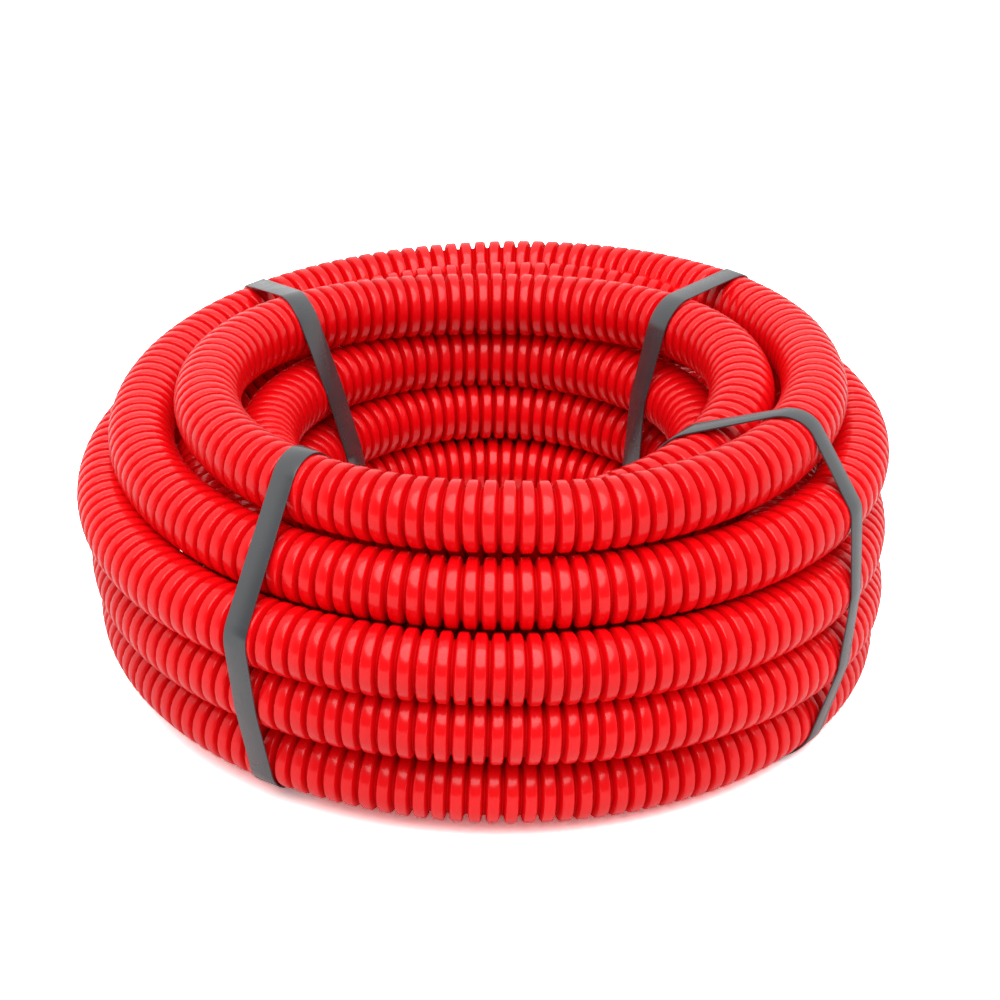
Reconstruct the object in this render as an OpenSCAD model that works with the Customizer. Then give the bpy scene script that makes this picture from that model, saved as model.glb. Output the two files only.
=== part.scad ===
// Coil of corrugated conduit, strapped in four places and lying flat.
// All sizes in millimetres. Z is the coil's own axis, -Y is its front, Z = 0 is the ground it lies on.
// The wound conduit is one turned solid with its bore: each turn shows as a round on the sides and
// the ends, and the space between turns is filled inside. Every strap is a closed flat band pulled
// tight round the whole stack of turns.

/* [Conduit] */
// Outside diameter of the conduit over its ribs
conduit_d = 32; // [28:1:34]

/* [Coil] */
// Radius of the outer column of turns where it is widest, to the middle of the conduit
outer_turn_r = 179; // [172:1:190]
// Radius of the inner column of turns, to the middle of the conduit
inner_turn_r = 110; // [104:1:116]
// Radius of the single turn on top, to the middle of the conduit
top_turn_r = 150; // [146:1:154]
// How far the outer column draws in at its bottom and its top turn
draw_in = 6; // [2:1:8]
// Turns in each column
layers = 4; // [4:1:6]
// Height from one turn of a column to the next, as a share of the conduit diameter
layer_share = 0.99; // [0.9:0.01:0.99]
// How far the inner column stands above the outer one, as a share of a layer
inner_lift = 0.65; // [0.4:0.05:0.8]
// Height of the top turn over the outer column, as a share of the conduit diameter
top_share = 1.04; // [0.95:0.01:1.1]

/* [Straps] */
// Width of a strap
strap_w = 12; // [6:0.5:20]
// Thickness of a strap
strap_t = 0.8; // [0.4:0.1:1.5]
// Direction of the front left strap, in degrees from +X
front_left_deg = -127; // [-170:1:-100]
// Direction of the front right strap, in degrees from +X
front_right_deg = -36; // [-80:1:-10]
// Direction of the back right strap, in degrees from +X
back_right_deg = 44; // [10:1:80]
// Direction of the back left strap, in degrees from +X
back_left_deg = 138; // [100:1:170]

/* [Colours] */
// Colour of the conduit
conduit_colour = "#e1060f";
// Colour of the straps
strap_colour = "#5f6366";

/* [Hidden] */
$fn = 96;
tube_r = conduit_d / 2;
middle_turn_r = (outer_turn_r - draw_in + inner_turn_r) / 2;
layer_step = conduit_d * layer_share;
ground_z = strap_t + tube_r;
inner_z = ground_z + inner_lift * layer_step;
column_h = (layers - 1) * layer_step;
top_z = ground_z + column_h + conduit_d * top_share;
// Turns that a tight strap bears on, anticlockwise from the bottom outer one: [radius, height].
corner = [
    [outer_turn_r - draw_in, ground_z],
    [outer_turn_r, ground_z + layer_step],
    [outer_turn_r, ground_z + column_h - layer_step],
    [outer_turn_r - draw_in, ground_z + column_h],
    [top_turn_r, top_z],
    [inner_turn_r, inner_z + column_h],
    [inner_turn_r, inner_z],
    [middle_turn_r, ground_z]
];
// Flats that make up the strap's bend round each of them.
bend_flats = 7;
// How far the filled inside reaches from the middle of a turn to its surface.
core_share = 0.5;

// Direction of the strap's straight run from one bearing turn to the next, in degrees.
function run_deg(i) =
    let (from = corner[i % len(corner)], to = corner[(i + 1) % len(corner)])
    atan2(to[1] - from[1], to[0] - from[0]);

// Direction of the run that reaches a bearing turn, and how far the strap bends there.
function reach_deg(i) = run_deg(i + len(corner) - 1);
function bend_deg(i) = (run_deg(i) - reach_deg(i) + 360) % 360;

// Outline at distance r round all the bearing turns, with its flats touching that distance.
module outline(r)
    polygon([
        for (i = [0 : len(corner) - 1], flat = [0.5 : bend_flats - 0.5])
            let (step = bend_deg(i) / bend_flats, a = reach_deg(i) - 90 + flat * step)
            corner[i] + r / cos(step / 2) * [cos(a), sin(a)]
    ]);

module turn_section(r, z) translate([r, z]) circle(r = tube_r);

module conduit_coil() {
    color(conduit_colour)
    rotate_extrude() {
        for (turn = corner) turn_section(turn[0], turn[1]);
        for (layer = [1 : layers - 2]) {
            turn_section(outer_turn_r, ground_z + layer * layer_step);
            turn_section(inner_turn_r, inner_z + layer * layer_step);
        }
        outline(tube_r * core_share);
    }
}

// One closed band, standing in the plane of the coil's axis at the given direction.
module strap(direction) {
    color(strap_colour)
    rotate([90, 0, direction])
    linear_extrude(height = strap_w, center = true)
    difference() {
        outline(tube_r + strap_t);
        outline(tube_r);
    }
}

module strap_front_left() strap(front_left_deg);
module strap_front_right() strap(front_right_deg);
module strap_back_right() strap(back_right_deg);
module strap_back_left() strap(back_left_deg);

conduit_coil();
strap_front_left();
strap_front_right();
strap_back_right();
strap_back_left();
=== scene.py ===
"""A strapped coil of corrugated conduit, modelled round its CAD frame and set on a white stage."""

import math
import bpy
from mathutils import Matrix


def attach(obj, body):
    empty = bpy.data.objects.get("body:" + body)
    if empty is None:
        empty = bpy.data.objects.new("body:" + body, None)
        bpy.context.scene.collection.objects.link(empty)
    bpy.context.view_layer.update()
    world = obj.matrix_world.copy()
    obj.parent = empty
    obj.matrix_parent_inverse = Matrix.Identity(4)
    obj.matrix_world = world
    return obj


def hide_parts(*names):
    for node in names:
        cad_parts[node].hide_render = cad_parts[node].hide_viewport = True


bl_info = {
    "name": "Corrugated Conduit Coil",
    "version": (1, 0, 0),
    "blender": (4, 5, 0),
    "location": "View3D > Sidebar > Conduit Coil",
    "description": "Winds a ribbed conduit into a flat-lying coil and ties it with four straps",
    "category": "Add Mesh",
}

import bpy
from bpy.props import FloatProperty, FloatVectorProperty, IntProperty, PointerProperty
from bpy.types import Operator, Panel, PropertyGroup
from mathutils import Vector

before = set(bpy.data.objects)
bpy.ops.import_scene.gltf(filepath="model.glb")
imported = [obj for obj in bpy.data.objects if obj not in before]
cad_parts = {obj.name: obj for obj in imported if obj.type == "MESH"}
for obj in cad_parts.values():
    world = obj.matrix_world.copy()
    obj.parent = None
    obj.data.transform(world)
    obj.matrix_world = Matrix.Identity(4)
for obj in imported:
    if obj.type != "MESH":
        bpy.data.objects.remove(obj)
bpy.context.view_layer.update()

MM = 0.001
QUARTER = 0.25

# The winding is followed in turns, anticlockwise from above. Turn 0 passes the front on the top
# layer: before it the conduit goes down the middle column and climbs the inner one, and after it
# the conduit comes down the outer column to its free end on the ground.
START_TURN = -7.25
INNER_TURN = -4.5
TOP_TURN = 0.0
END_TURN = 4.5
STEPS_PER_TURN = 180

# How the turns lie out of true, in millimetres: for each whole turn, how far the conduit is pushed
# out and how far it is lifted where it passes the front, the right, the back and the left.
PUSHES = {
    -5: ((0, 0), (0, 0), (0, 0), (-8, 0)),
    -4: ((-4, 4), (0, 3), (1, 0), (0, 0)),
    -3: ((-3, 6), (-4, 4), (5, 1), (-7, 0)),
    -2: ((-6, 9), (-10, 11), (6, 0), (4, 2)),
    -1: ((12, 8), (7, 16), (2, 0), (12, 3)),
    0: ((0, 2), (-22, 2), (5, -9), (0.5, -4.5)),
    1: ((-5, 1.5), (-1, 6), (-26, 23), (15, 5)),
    2: ((14, 6), (-1, 0), (-5, 21), (11, 2)),
    3: ((12, 6), (0, -3), (3, 17), (9, 3)),
    4: ((2, 0), (-3, 0), (2, 0), (0, 0)),
}

# Each strap's direction from the middle of the coil, in degrees from +X, where it passes outside
# the turns and where it passes inside them, and how far it leans sideways from upright.
STRAPS = {
    "front_left": (-124, -127, -1.5),
    "front_right": (-32, -60, 12),
    "back_right": (48, 41, -8),
    "back_left": (129, 145, 13),
}
# The two directions are taken at these radii, and a strap leans about its middle at this height.
OUTSIDE_RADIUS = 0.198
INSIDE_RADIUS = 0.093
LEAN_HEIGHT = 0.080
# A strap takes in the turns whose middles are this near its plane, and this far along it, inwards
# and outwards, from where it passes inside the coil.
NEARBY = 0.04
REACH_IN = 0.05
REACH_OUT = 0.2
# How many points a strap has along each line, and how many are tried round the conduit's skin.
BAND_STEPS = 72
SKIN_STEPS = 72
# Points of a mesh that are nearer to each other than this become one.
WELD_RIBS = 0.02 * MM
WELD_STRAPS = 0.1 * MM


class ConduitSettings(PropertyGroup):
    diameter: FloatProperty(
        name="Diameter", description="Outside diameter over the ribs", default=0.032, unit="LENGTH"
    )
    rib_pitch: FloatProperty(
        name="Rib Pitch",
        description="Length from one rib to the next",
        default=0.00775,
        unit="LENGTH",
    )
    groove_depth: FloatProperty(
        name="Groove Depth",
        description="Depth of the grooves between ribs",
        default=0.0035,
        unit="LENGTH",
    )
    wall: FloatProperty(
        name="Wall", description="Wall thickness seen at a cut end", default=0.0009, unit="LENGTH"
    )
    sides: IntProperty(name="Sides", description="Faces round the conduit", default=24, min=12)
    colour: FloatVectorProperty(
        name="Colour",
        description="Colour of the plastic",
        subtype="COLOR",
        default=(1.0, 0.002, 0.005),
    )
    shade: FloatVectorProperty(
        name="Shade",
        description="Deeper colour of its patches",
        subtype="COLOR",
        default=(0.88, 0.001, 0.004),
    )
    # The grooves keep this share of the colour: painted shade, darker towards the groove floors,
    # standing in for the shade that falls in them.
    painted_groove_shade: FloatProperty(
        name="Groove Shade",
        description="Share of the colour that is left in the grooves",
        default=0.62,
    )


class CoilSettings(PropertyGroup):
    inner_radius: FloatProperty(
        name="Inner Radius",
        description="Radius of the inner column of turns",
        default=0.110,
        unit="LENGTH",
    )
    middle_radius: FloatProperty(
        name="Middle Radius",
        description="Radius of the middle column of turns",
        default=0.143,
        unit="LENGTH",
    )
    outer_radius: FloatProperty(
        name="Outer Radius",
        description="Radius of the outer column of turns",
        default=0.174,
        unit="LENGTH",
    )
    top_height: FloatProperty(
        name="Top Height",
        description="Height of the top turn's middle",
        default=0.150,
        unit="LENGTH",
    )
    layer_step: FloatProperty(
        name="Layer Step",
        description="Height that one turn gains or loses",
        default=0.0315,
        unit="LENGTH",
    )
    centre_x: FloatProperty(
        name="Centre X",
        description="Where the middle of the turns lies along X",
        default=0.005,
        unit="LENGTH",
    )


class StrapSettings(PropertyGroup):
    width: FloatProperty(
        name="Width", description="Width of a strap", default=0.012, unit="LENGTH"
    )
    thickness: FloatProperty(
        name="Thickness", description="Thickness of a strap", default=0.0008, unit="LENGTH"
    )
    clearance: FloatProperty(
        name="Clearance",
        description="Gap between a strap and the ribs",
        default=0.0002,
        unit="LENGTH",
    )
    colour: FloatVectorProperty(
        name="Colour",
        description="Colour of the strapping",
        subtype="COLOR",
        default=(0.052, 0.056, 0.061),
    )


class StageSettings(PropertyGroup):
    floor_size: FloatProperty(
        name="Floor Size", description="Side of the floor", default=24.0, unit="LENGTH"
    )
    key_level: FloatProperty(
        name="Key Level",
        description="Strength of the soft light from above and in front",
        default=2.7,
    )
    key_spread: FloatProperty(
        name="Key Spread",
        description="Angle that the soft light fills",
        subtype="ANGLE",
        default=math.radians(60),
    )
    key_tilt: FloatProperty(
        name="Key Tilt",
        description="How far the soft light comes from in front of straight above",
        subtype="ANGLE",
        default=math.radians(23),
    )
    sky_level: FloatProperty(
        name="Sky Level", description="Brightness of the even light all round", default=0.4
    )
    front_level: FloatProperty(
        name="Front Level",
        description="How bright it is low down in front, in reflections",
        default=0.02,
    )
    floor_lift: FloatProperty(
        name="Floor Lift",
        description="How much brighter the floor looks to the camera than it lights the coil",
        default=2.6,
    )
    lens: FloatProperty(name="Lens", description="Focal length in millimetres", default=99.4)
    elevation: FloatProperty(
        name="Elevation",
        description="Angle at which the camera looks down",
        subtype="ANGLE",
        default=math.radians(27.8),
    )
    distance: FloatProperty(
        name="Distance", description="From the camera to the coil", default=1.3724, unit="LENGTH"
    )
    aim_height: FloatProperty(
        name="Aim Height",
        description="Height that the camera looks at",
        default=0.0744,
        unit="LENGTH",
    )
    shift: FloatVectorProperty(
        name="Shift",
        description="How far the picture is shifted sideways and up",
        size=2,
        default=(0.0004, 0.0054),
    )


class CoilProject(PropertyGroup):
    conduit: PointerProperty(type=ConduitSettings)
    coil: PointerProperty(type=CoilSettings)
    strap: PointerProperty(type=StrapSettings)
    stage: PointerProperty(type=StageSettings)


# ---------------------------------------------------------------- the winding


def ease(t):
    """Rises smoothly from 0 to 1."""
    t = min(max(t, 0.0), 1.0)
    return t * t * (3.0 - 2.0 * t)


def push_at(quarter):
    """The push where this many quarter turns are done."""
    return PUSHES[quarter // 4][quarter % 4] if quarter // 4 in PUSHES else (0, 0)


def pushed(turn):
    """How far the conduit is pushed out and lifted at this turn, in metres."""
    quarter = math.floor(turn / QUARTER)
    t = turn / QUARTER - quarter
    # A smooth curve through the pushes: the shares of the last two quarters and the next two.
    weights = (
        (2 * t**2 - t - t**3) / 2,
        (2 - 5 * t**2 + 3 * t**3) / 2,
        (t + 4 * t**2 - 3 * t**3) / 2,
        (t**3 - t**2) / 2,
    )
    out = up = 0.0
    for step, weight in enumerate(weights, start=-1):
        push_out, push_up = push_at(quarter + step)
        out += weight * push_out * MM
        up += weight * push_up * MM
    return out, up


def ground_height(project):
    """Height of the conduit's middle where it lies on the ground, with a strap under it."""
    return project.strap.thickness + project.strap.clearance + project.conduit.diameter / 2


def radius_and_height(project, turn):
    """Radius and height of the conduit's middle at this turn."""
    coil = project.coil
    ground = ground_height(project)
    if turn < INNER_TURN:
        radius = coil.middle_radius
        height = ground + coil.layer_step * (INNER_TURN - turn)
    else:
        inward = ease((turn - INNER_TURN) / QUARTER)
        outward = ease((turn - TOP_TURN + 2 * QUARTER) / (3 * QUARTER))
        radius = coil.middle_radius + (coil.inner_radius - coil.middle_radius) * inward
        radius += (coil.outer_radius - coil.inner_radius) * outward
        height = max(ground, coil.top_height - coil.layer_step * abs(turn - TOP_TURN))
    out, up = pushed(turn)
    return radius + out, max(ground, height + up)


def place(project, turn):
    """The conduit's middle at this turn."""
    radius, height = radius_and_height(project, turn)
    angle = math.tau * (turn - QUARTER)
    x = project.coil.centre_x + radius * math.cos(angle)
    return Vector((x, radius * math.sin(angle), height))


def winding(project):
    """Points along the whole winding."""
    steps = round((END_TURN - START_TURN) * STEPS_PER_TURN)
    return [place(project, START_TURN + i / STEPS_PER_TURN) for i in range(steps + 1)]


def path_length(points):
    """Length of the path through the points."""
    return sum((b - a).length for a, b in zip(points, points[1:]))


# ---------------------------------------------------------------- modelling helpers


def select_only(piece):
    """Makes a piece the only one selected, and the active one."""
    bpy.ops.object.select_all(action="DESELECT")
    piece.select_set(True)
    bpy.context.view_layer.objects.active = piece


def apply_modifiers(piece):
    """Applies a piece's modifiers in their order."""
    select_only(piece)
    for modifier in list(piece.modifiers):
        bpy.ops.object.modifier_apply(modifier=modifier.name)


def ring_run(name, rings, sides, closed=False):
    """A tube along X through rings of (distance, radius); closed puts a face on its last ring."""
    bpy.ops.object.select_all(action="DESELECT")
    first_x, first_r = rings[0]
    bpy.ops.mesh.primitive_circle_add(
        vertices=sides, radius=first_r, location=(first_x, 0, 0), rotation=(0, math.pi / 2, 0)
    )
    piece = bpy.context.object
    piece.name = piece.data.name = name
    bpy.ops.object.transform_apply(location=True, rotation=True, scale=True)
    bpy.ops.object.mode_set(mode="EDIT")
    bpy.ops.mesh.select_all(action="SELECT")
    for (x0, r0), (x1, r1) in zip(rings, rings[1:]):
        bpy.ops.mesh.extrude_edges_move(TRANSFORM_OT_translate={"value": (x1 - x0, 0, 0)})
        bpy.ops.transform.resize(value=(1, r1 / r0, r1 / r0), center_override=(x1, 0, 0))
    if closed:
        bpy.ops.mesh.edge_face_add()
    bpy.ops.object.mode_set(mode="OBJECT")
    return piece


def close_open_rings(piece):
    """Puts a face over every ring that is still open, and turns all faces outwards."""
    select_only(piece)
    bpy.ops.object.mode_set(mode="EDIT")
    bpy.ops.mesh.select_mode(type="VERT")
    bpy.ops.mesh.select_all(action="DESELECT")
    bpy.ops.mesh.select_non_manifold()
    bpy.ops.mesh.edge_face_add()
    bpy.ops.mesh.select_all(action="SELECT")
    bpy.ops.mesh.normals_make_consistent(inside=False)
    bpy.ops.object.mode_set(mode="OBJECT")


def delete(*objects):
    """Deletes helper objects."""
    bpy.ops.object.select_all(action="DESELECT")
    for thing in objects:
        thing.select_set(True)
    bpy.ops.object.delete()


def outline_of(points):
    """The convex outline round points in a plane, anticlockwise."""
    points = sorted(set(points))

    def half(run):
        """The outline's one side, from the first of the sorted points towards the last."""
        chain = []
        for p in run:
            while len(chain) > 1:
                (ax, ay), (bx, by) = chain[-2:]
                if (bx - ax) * (p[1] - ay) - (by - ay) * (p[0] - ax) > 0:
                    break
                chain.pop()
            chain.append(p)
        return chain[:-1]

    return half(points) + half(reversed(points))


# ---------------------------------------------------------------- materials

# Direction in which the studio is dim in reflections.
LOW_IN_FRONT = (0.0, -0.94, 0.34)


def add_node(tree, kind, **values):
    """Adds a node; values name its inputs, or its properties where it has no such input."""
    node = tree.nodes.new(kind)
    for key, value in values.items():
        name = key.replace("_", " ").title() if key not in node.inputs else key
        if name in node.inputs:
            node.inputs[name].default_value = value
        else:
            setattr(node, key, value)
    return node


def shaded(colour, share=1.0):
    """A share of a colour, as a socket takes it."""
    return (*(share * part for part in colour), 1.0)


def surface_group():
    """Faint marks of moulding and handling, shared by the plastics."""
    name = "Plastic Surface"
    if name in bpy.data.node_groups:
        return bpy.data.node_groups[name]
    tree = bpy.data.node_groups.new(name, "ShaderNodeTree")
    for label, default in (("Patch Scale", 12.0), ("Grain Scale", 900.0)):
        socket = tree.interface.new_socket(label, in_out="INPUT", socket_type="NodeSocketFloat")
        socket.default_value = default
    for label in ("Patches", "Smears", "Grain"):
        tree.interface.new_socket(label, in_out="OUTPUT", socket_type="NodeSocketFloat")
    links = tree.links
    inputs = tree.nodes.new("NodeGroupInput")
    outputs = tree.nodes.new("NodeGroupOutput")
    coordinates = tree.nodes.new("ShaderNodeTexCoord")
    patches = add_node(tree, "ShaderNodeTexNoise", detail=3.0, roughness=0.55)
    links.new(coordinates.outputs["Object"], patches.inputs["Vector"])
    links.new(inputs.outputs["Patch Scale"], patches.inputs["Scale"])
    links.new(patches.outputs["Fac"], outputs.inputs["Patches"])
    smears = add_node(tree, "ShaderNodeTexNoise", scale=55.0, detail=5.0, roughness=0.65)
    links.new(coordinates.outputs["Object"], smears.inputs["Vector"])
    links.new(smears.outputs["Fac"], outputs.inputs["Smears"])
    grain = add_node(tree, "ShaderNodeTexNoise", detail=2.0)
    links.new(coordinates.outputs["Object"], grain.inputs["Vector"])
    links.new(inputs.outputs["Grain Scale"], grain.inputs["Scale"])
    links.new(grain.outputs["Fac"], outputs.inputs["Grain"])
    return tree


def start_material(name):
    """A new material, its node tree and its shader."""
    material = bpy.data.materials.new(name)
    material.use_nodes = True
    return material, material.node_tree, material.node_tree.nodes["Principled BSDF"]


def surface_marks(tree, patch_scale, grain_scale):
    """The shared marks, at the scales of one of the plastics."""
    marks = tree.nodes.new("ShaderNodeGroup")
    marks.node_tree = surface_group()
    marks.inputs["Patch Scale"].default_value = patch_scale
    marks.inputs["Grain Scale"].default_value = grain_scale
    return marks


def add_grain(tree, shader, marks, strength, distance):
    """Roughens the shader's normal with the marks' grain."""
    bump = add_node(tree, "ShaderNodeBump", strength=strength, distance=distance)
    tree.links.new(marks.outputs["Grain"], bump.inputs["Height"])
    tree.links.new(bump.outputs["Normal"], shader.inputs["Normal"])


def conduit_material(settings):
    """Red plastic, coloured through, with a gloss on its ribs and none in its grooves, which are
    darkened with painted shade.
    """
    material, tree, shader = start_material("conduit_red")
    links = tree.links
    marks = surface_marks(tree, patch_scale=9.0, grain_scale=700.0)
    patches = add_node(tree, "ShaderNodeMapRange", from_min=0.35, from_max=0.65)
    links.new(marks.outputs["Patches"], patches.inputs["Value"])
    colour = add_node(tree, "ShaderNodeMix", data_type="RGBA")
    colour.inputs["A"].default_value = shaded(settings.shade)
    colour.inputs["B"].default_value = shaded(settings.colour)
    links.new(patches.outputs["Result"], colour.inputs["Factor"])
    crest = add_node(tree, "ShaderNodeAttribute", attribute_name="crest")
    # Painted shade: the colour darkens from the ribs down to the groove floors, where shade falls
    # between them.
    painted_shade_mix = add_node(tree, "ShaderNodeMix", data_type="RGBA")
    painted_shade_mix.inputs["A"].default_value = shaded(settings.colour, settings.painted_groove_shade)
    links.new(crest.outputs["Fac"], painted_shade_mix.inputs["Factor"])
    links.new(colour.outputs["Result"], painted_shade_mix.inputs["B"])
    links.new(painted_shade_mix.outputs["Result"], shader.inputs["Base Color"])
    wear = add_node(
        tree, "ShaderNodeMapRange", from_min=0.35, from_max=0.65, to_min=0.85, to_max=0.7
    )
    links.new(marks.outputs["Smears"], wear.inputs["Value"])
    gloss = add_node(tree, "ShaderNodeMapRange", from_min=0.5, from_max=0.95)
    links.new(crest.outputs["Fac"], gloss.inputs["Value"])
    links.new(wear.outputs["Result"], gloss.inputs["To Max"])
    links.new(gloss.outputs["Result"], shader.inputs["Coat Weight"])
    shader.inputs["Coat Roughness"].default_value = 0.2
    shader.inputs["Specular IOR Level"].default_value = 0.05
    shader.inputs["Roughness"].default_value = 0.6
    add_grain(tree, shader, marks, strength=0.12, distance=0.2 * MM)
    return material


def strap_material(settings):
    """Smooth dark grey strapping with a faint grain."""
    material, tree, shader = start_material("strap_grey")
    links = tree.links
    marks = surface_marks(tree, patch_scale=30.0, grain_scale=1500.0)
    colour = add_node(tree, "ShaderNodeMix", data_type="RGBA")
    colour.inputs["A"].default_value = shaded(settings.colour, 0.8)
    colour.inputs["B"].default_value = shaded(settings.colour, 1.2)
    links.new(marks.outputs["Patches"], colour.inputs["Factor"])
    links.new(colour.outputs["Result"], shader.inputs["Base Color"])
    gloss = add_node(
        tree, "ShaderNodeMapRange", from_min=0.3, from_max=0.7, to_min=0.2, to_max=0.3
    )
    links.new(marks.outputs["Smears"], gloss.inputs["Value"])
    links.new(gloss.outputs["Result"], shader.inputs["Roughness"])
    shader.inputs["Specular IOR Level"].default_value = 0.9
    add_grain(tree, shader, marks, strength=0.15, distance=0.1 * MM)
    return material


def brightest(tree, value, light_path, labels):
    """The largest of a value and the named kinds of ray."""
    for label in labels:
        either = add_node(tree, "ShaderNodeMath", operation="MAXIMUM")
        tree.links.new(value, either.inputs[0])
        tree.links.new(light_path.outputs[label], either.inputs[1])
        value = either.outputs[0]
    return value


def backdrop_factor(tree):
    """1 for what the camera, a reflection or clear plastic sees, and 0 for light that bounces."""
    light_path = tree.nodes.new("ShaderNodeLightPath")
    labels = ("Is Glossy Ray", "Is Transmission Ray")
    return brightest(tree, light_path.outputs["Is Camera Ray"], light_path, labels)


def floor_material(stage):
    """White floor that shows the coil's shadow, and only its deep part to the camera."""
    material = bpy.data.materials.new("floor_white")
    material.use_nodes = True
    tree = material.node_tree
    tree.nodes.remove(tree.nodes["Principled BSDF"])
    matte = tree.nodes.new("ShaderNodeBsdfDiffuse")
    white = add_node(tree, "ShaderNodeMapRange", to_min=0.8, to_max=0.9)
    tree.links.new(backdrop_factor(tree), white.inputs["Value"])
    seen = tree.nodes.new("ShaderNodeLightPath")
    lifted = add_node(tree, "ShaderNodeMath", operation="MULTIPLY_ADD")
    lifted.inputs[1].default_value = stage.floor_lift
    tree.links.new(seen.outputs["Is Camera Ray"], lifted.inputs[0])
    tree.links.new(white.outputs["Result"], lifted.inputs[2])
    tree.links.new(lifted.outputs["Value"], matte.inputs["Color"])
    tree.links.new(matte.outputs["BSDF"], tree.nodes["Material Output"].inputs["Surface"])
    return material


def studio_world(stage):
    """White behind the coil and an even light all round; reflections are dim low down in front."""
    world = bpy.data.worlds.new("studio_white")
    bpy.context.scene.world = world
    world.use_nodes = True
    tree = world.node_tree
    links = tree.links
    background = tree.nodes["Background"]
    background.inputs["Color"].default_value = (1.0, 1.0, 1.0, 1.0)
    direction = tree.nodes.new("ShaderNodeTexCoord")
    towards_front = add_node(tree, "ShaderNodeVectorMath", operation="DOT_PRODUCT")
    towards_front.inputs[1].default_value = LOW_IN_FRONT
    links.new(direction.outputs["Generated"], towards_front.inputs[0])
    reflected = add_node(tree, "ShaderNodeMapRange", from_min=0.2, from_max=0.8, to_min=1.0)
    reflected.inputs["To Max"].default_value = stage.front_level
    reflected.interpolation_type = "SMOOTHSTEP"
    links.new(towards_front.outputs["Value"], reflected.inputs["Value"])
    light_path = tree.nodes.new("ShaderNodeLightPath")
    labels = ("Is Camera Ray", "Is Transmission Ray")
    shown = brightest(tree, reflected.outputs["Result"], light_path, labels)
    strength = add_node(tree, "ShaderNodeMapRange", to_min=stage.sky_level)
    links.new(backdrop_factor(tree), strength.inputs["Value"])
    links.new(shown, strength.inputs["To Max"])
    links.new(strength.outputs["Result"], background.inputs["Strength"])


# ---------------------------------------------------------------- the conduit


def guide_curve(points):
    """A guide that the straight conduit is bent along."""
    data = bpy.data.curves.new("winding_guide", "CURVE")
    data.dimensions = "3D"
    data.twist_mode = "Z_UP"
    spline = data.splines.new("POLY")
    spline.points.add(len(points) - 1)
    for spot, point in zip(spline.points, points):
        spot.co = (*point, 1.0)
    guide = bpy.data.objects.new("winding_guide", data)
    bpy.context.scene.collection.objects.link(guide)
    return guide


def rib_profile(conduit):
    """One rib's rings of (distance, radius), from the end of one groove to the end of the next."""
    crest = conduit.diameter / 2
    floor = crest - conduit.groove_depth
    shoulder = crest - 0.2 * conduit.groove_depth
    shares = (
        (0.0, floor),
        (0.09, shoulder),
        (0.19, crest),
        (0.65, crest),
        (0.75, shoulder),
        (0.84, floor),
        (1.0, floor),
    )
    return [(share * conduit.rib_pitch, radius) for share, radius in shares]


def cut_end_profile(conduit, bore_depth=0.06, bore_steps=4):
    """From the bottom of a groove out to a cut across the next rib, and back along the bore."""
    crest = conduit.diameter / 2
    cut = 0.5 * conduit.rib_pitch
    inside = crest - conduit.groove_depth - conduit.wall
    rings = rib_profile(conduit)[:3]
    rings += [(cut, crest), (cut, crest - conduit.wall), (0.3 * cut, inside)]
    rings += [(-bore_depth * step / bore_steps, inside) for step in range(1, bore_steps + 1)]
    return rings


def mark_crests(run, conduit):
    """Marks each point of the straight run: 0 at the bottom of a groove and 1 on a rib."""
    floor = conduit.diameter / 2 - conduit.groove_depth
    crest = run.data.attributes.new("crest", "FLOAT", "POINT")
    for mark, vertex in zip(crest.data, run.data.vertices):
        mark.value = (vertex.co.yz.length - floor) / conduit.groove_depth


def conduit_run(project, name, guide, first_rib, rib_count, pitch, all_ribs):
    """A run of ribs bent along the guide, cut open where it starts or ends the winding."""
    conduit = project.conduit
    stretch = pitch / conduit.rib_pitch
    rib = ring_run(name, [(x * stretch, r) for x, r in rib_profile(conduit)], conduit.sides)
    side = -1 if first_rib == 0 else 1
    rings = [(side * x * stretch, r) for x, r in cut_end_profile(conduit)]
    cap = ring_run(name + "_cut", rings, conduit.sides, closed=True)
    row = rib.modifiers.new("Ribs", "ARRAY")
    row.count = rib_count
    row.use_relative_offset = False
    row.use_constant_offset = True
    row.constant_offset_displace = (pitch, 0, 0)
    row.use_merge_vertices = True
    row.merge_threshold = WELD_RIBS
    if first_rib == 0:
        row.start_cap = cap
    elif first_rib + rib_count == all_ribs:
        row.end_cap = cap
    apply_modifiers(rib)
    bpy.ops.object.mode_set(mode="EDIT")
    bpy.ops.mesh.select_all(action="SELECT")
    bpy.ops.transform.translate(value=(first_rib * pitch, 0, 0))
    bpy.ops.object.mode_set(mode="OBJECT")
    mark_crests(rib, conduit)
    bend = rib.modifiers.new("Wind", "CURVE")
    bend.object = guide
    bend.deform_axis = "POS_X"
    apply_modifiers(rib)
    close_open_rings(rib)
    delete(cap)
    select_only(rib)
    bpy.ops.object.shade_smooth()
    rib.modifiers.new("Flat Crests", "WEIGHTED_NORMAL").weight = 80
    apply_modifiers(rib)
    return rib


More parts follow.
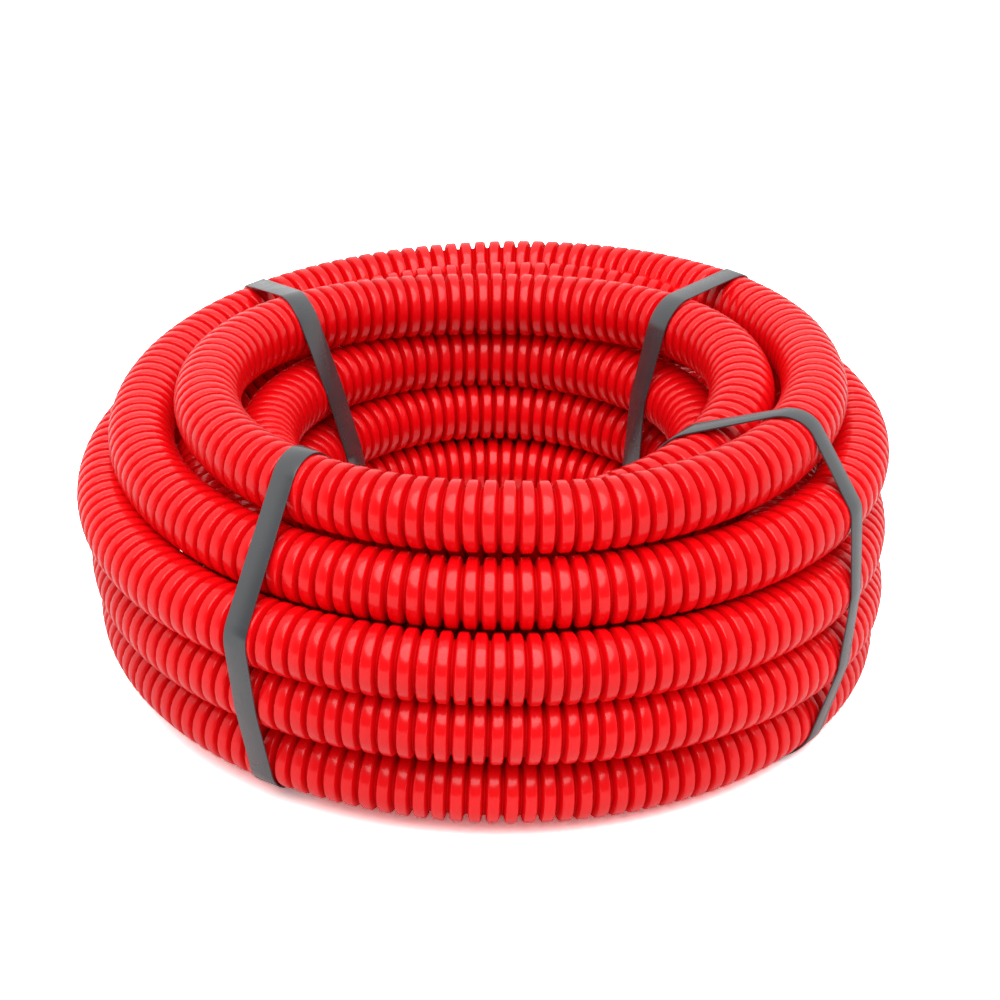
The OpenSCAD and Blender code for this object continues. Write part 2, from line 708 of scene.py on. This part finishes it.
class OBJECT_OT_wind_conduit(Operator):
    """Wind the ribbed conduit into its stack of turns"""

    bl_idname = "object.wind_conduit"
    bl_label = "Wind Conduit"

    def execute(self, context):
        project = context.scene.coil_project
        points = winding(project)
        length = path_length(points)
        ribs = round(length / project.conduit.rib_pitch)
        pitch = length / ribs
        # The inner and outer runs meet under the front right strap.
        outer_deg, inner_deg, _ = STRAPS["front_right"]
        meeting_turn = (outer_deg + inner_deg) / 2 / 360 + QUARTER
        turns = (START_TURN, INNER_TURN, meeting_turn, END_TURN)
        ends = [round((turn - START_TURN) * STEPS_PER_TURN) for turn in turns]
        ribs_at = [round(path_length(points[: end + 1]) / pitch) for end in ends]
        guide = guide_curve(points)
        names = ("conduit_middle_turns", "conduit_inner_turns", "conduit_outer_turns")
        runs = [
            conduit_run(project, name, guide, first, last - first, pitch, ribs)
            for name, first, last in zip(names, ribs_at, ribs_at[1:])
        ]
        delete(guide)
        material = conduit_material(project.conduit)
        for run in runs:
            run.data.materials.clear()
            run.data.materials.append(material)
            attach(run, "root")
            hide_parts("conduit_coil")
        print(f"conduit {length:.3f} m, {ribs} ribs, pitch {pitch / MM:.3f} mm")
        return {"FINISHED"}


# ---------------------------------------------------------------- the straps


class StrapPlane:
    """A leaning plane along a strap: through an edge for side -1 or 1, and its middle for 0."""

    def __init__(self, project, name, side):
        outer_deg, inner_deg, lean_deg = STRAPS[name]
        centre = Vector((project.coil.centre_x, 0))
        outside, self.inside = (
            centre + radius * Vector((math.cos(math.radians(deg)), math.sin(math.radians(deg))))
            for radius, deg in ((OUTSIDE_RADIUS, outer_deg), (INSIDE_RADIUS, inner_deg))
        )
        self.along = (outside - self.inside).normalized()
        self.across = Vector((-self.along.y, self.along.x))
        self.slope = math.tan(math.radians(lean_deg))
        # The turns pass the strap at a slant, so its edges' planes stand closer than its width.
        halfway = (outside + self.inside) / 2 - centre
        self.offset = side * project.strap.width / 2 * self.along.dot(halfway.normalized())

    def sideways(self, point):
        """How far a point lies to one side of the plane."""
        lean = (point.z - LEAN_HEIGHT) * self.slope
        return (point.xy - self.inside).dot(self.across) - lean - self.offset

    def near(self, point):
        """Whether a turn's middle is near the plane, and on the strap's side of the coil."""
        reach = (point.xy - self.inside).dot(self.along)
        return abs(self.sideways(point)) < NEARBY and -REACH_IN < reach < REACH_OUT

    def edge(self, points, radius):
        """The strap's line in the plane, pulled tight round all the turns that pass through."""
        spots = []
        last = None
        for before, here, after in zip(points, points[1:], points[2:]):
            ring = skin_ring(here, after - before, radius) if self.near(here) else None
            if ring and last:
                for a, b in zip(last, ring):
                    start, end = self.sideways(a), self.sideways(b)
                    if start * end <= 0 and start != end:
                        spot = a.lerp(b, start / (start - end))
                        spots.append(((spot.xy - self.inside).dot(self.along), spot.z))
            last = ring
        spots = outline_of(spots)
        edge = []
        for step in range(BAND_STEPS):
            angle = math.tau * step / BAND_STEPS
            x, z = math.cos(angle), math.sin(angle)
            reach, height = max(spots, key=lambda spot: spot[0] * x + spot[1] * z)
            shift = (height - LEAN_HEIGHT) * self.slope + self.offset
            flat = self.inside + self.along * reach + self.across * shift
            edge.append((flat.x, flat.y, height))
        return edge


def skin_ring(middle, run, radius):
    """Points round the conduit's skin, where it runs in this direction."""
    outwards = run.cross(Vector((0, 0, 1))).normalized() * radius
    up = outwards.cross(run.normalized())
    angles = (math.tau * step / SKIN_STEPS for step in range(SKIN_STEPS))
    return [middle + math.cos(angle) * outwards + math.sin(angle) * up for angle in angles]


def strap_band(project, name, points):
    """One closed band round the stack of turns, through its two edges and its middle."""
    strap = project.strap
    radius = project.conduit.diameter / 2 + strap.clearance
    lines = [StrapPlane(project, name, side).edge(points, radius) for side in (-1, 0, 1)]
    bpy.ops.object.select_all(action="DESELECT")
    bpy.ops.mesh.primitive_circle_add(vertices=BAND_STEPS, radius=OUTSIDE_RADIUS)
    band = bpy.context.object
    band.name = band.data.name = "strapping_" + name
    # X counts the points along the strap and Y the lines across it, until they get their places.
    for step, vertex in enumerate(band.data.vertices):
        vertex.co = (step, 0, 0)
    bpy.ops.object.mode_set(mode="EDIT")
    bpy.ops.mesh.select_all(action="SELECT")
    for _ in lines[1:]:
        bpy.ops.mesh.extrude_edges_move(TRANSFORM_OT_translate={"value": (0, 1, 0)})
    bpy.ops.object.mode_set(mode="OBJECT")
    for vertex in band.data.vertices:
        vertex.co = lines[round(vertex.co.y)][round(vertex.co.x)]
    bpy.ops.object.mode_set(mode="EDIT")
    bpy.ops.mesh.select_all(action="SELECT")
    bpy.ops.mesh.remove_doubles(threshold=WELD_STRAPS)
    bpy.ops.mesh.normals_make_consistent(inside=False)
    bpy.ops.object.mode_set(mode="OBJECT")
    walls = band.modifiers.new("Thickness", "SOLIDIFY")
    walls.thickness = strap.thickness
    walls.offset = 1.0
    rims = band.modifiers.new("Soft Edges", "BEVEL")
    rims.width = 0.25 * strap.thickness
    rims.segments = 2
    rims.limit_method = "ANGLE"
    rims.angle_limit = math.radians(60)
    apply_modifiers(band)
    bpy.ops.object.shade_smooth_by_angle(angle=math.radians(35))
    return band


class OBJECT_OT_tie_straps(Operator):
    """Tie the four straps round the turns"""

    bl_idname = "object.tie_straps"
    bl_label = "Tie Straps"

    def execute(self, context):
        project = context.scene.coil_project
        points = winding(project)
        material = strap_material(project.strap)
        for name in STRAPS:
            band = strap_band(project, name, points)
            band.data.materials.clear()
            band.data.materials.append(material)
            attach(band, "root")
            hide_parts("strap_" + name)
        return {"FINISHED"}


# ---------------------------------------------------------------- the stage


class OBJECT_OT_set_coil_stage(Operator):
    """Lay the white floor, hang the lights and aim the camera"""

    bl_idname = "object.set_coil_stage"
    bl_label = "Set Stage"

    def execute(self, context):
        scene = context.scene
        project = scene.coil_project
        stage = project.stage
        scene.view_settings.view_transform = "Standard"
        studio_world(stage)

        bpy.ops.object.select_all(action="DESELECT")
        bpy.ops.mesh.primitive_plane_add(size=stage.floor_size, location=(0, 0, 0))
        floor = context.object
        floor.name = floor.data.name = "floor"
        floor.data.materials.append(floor_material(stage))

        bpy.ops.object.light_add(type="SUN", location=(0, -0.5, 1.2))
        key = context.object
        key.name = "soft_key"
        key.data.energy = stage.key_level
        key.data.angle = stage.key_spread
        key.rotation_euler = (stage.key_tilt, 0, 0)

        aim = Vector((project.coil.centre_x, 0, stage.aim_height))
        back = Vector((0, -math.cos(stage.elevation), math.sin(stage.elevation)))
        bpy.ops.object.camera_add(location=aim + back * stage.distance)
        camera = context.object
        camera.name = "camera"
        camera.rotation_euler = (-back).to_track_quat("-Z", "Y").to_euler()
        camera.data.sensor_width = 36.0
        camera.data.lens = stage.lens
        camera.data.shift_x, camera.data.shift_y = stage.shift
        camera.data.clip_end = 100.0
        scene.camera = camera
        return {"FINISHED"}


# ---------------------------------------------------------------- the add-on


class VIEW3D_PT_conduit_coil(Panel):
    bl_label = "Conduit Coil"
    bl_space_type = "VIEW_3D"
    bl_region_type = "UI"
    bl_category = "Conduit Coil"

    def draw(self, context):
        for operator in OPERATORS:
            self.layout.operator(operator.bl_idname)


OPERATORS = (OBJECT_OT_wind_conduit, OBJECT_OT_tie_straps, OBJECT_OT_set_coil_stage)
CLASSES = (
    ConduitSettings,
    CoilSettings,
    StrapSettings,
    StageSettings,
    CoilProject,
    *OPERATORS,
    VIEW3D_PT_conduit_coil,
)


def register():
    for cls in CLASSES:
        bpy.utils.register_class(cls)
    bpy.types.Scene.coil_project = PointerProperty(type=CoilProject)


def unregister():
    del bpy.types.Scene.coil_project
    for cls in reversed(CLASSES):
        bpy.utils.unregister_class(cls)


def main():
    register()
    bpy.ops.object.wind_conduit()
    bpy.ops.object.tie_straps()
    bpy.ops.object.set_coil_stage()


if __name__ == "__main__":
    main()
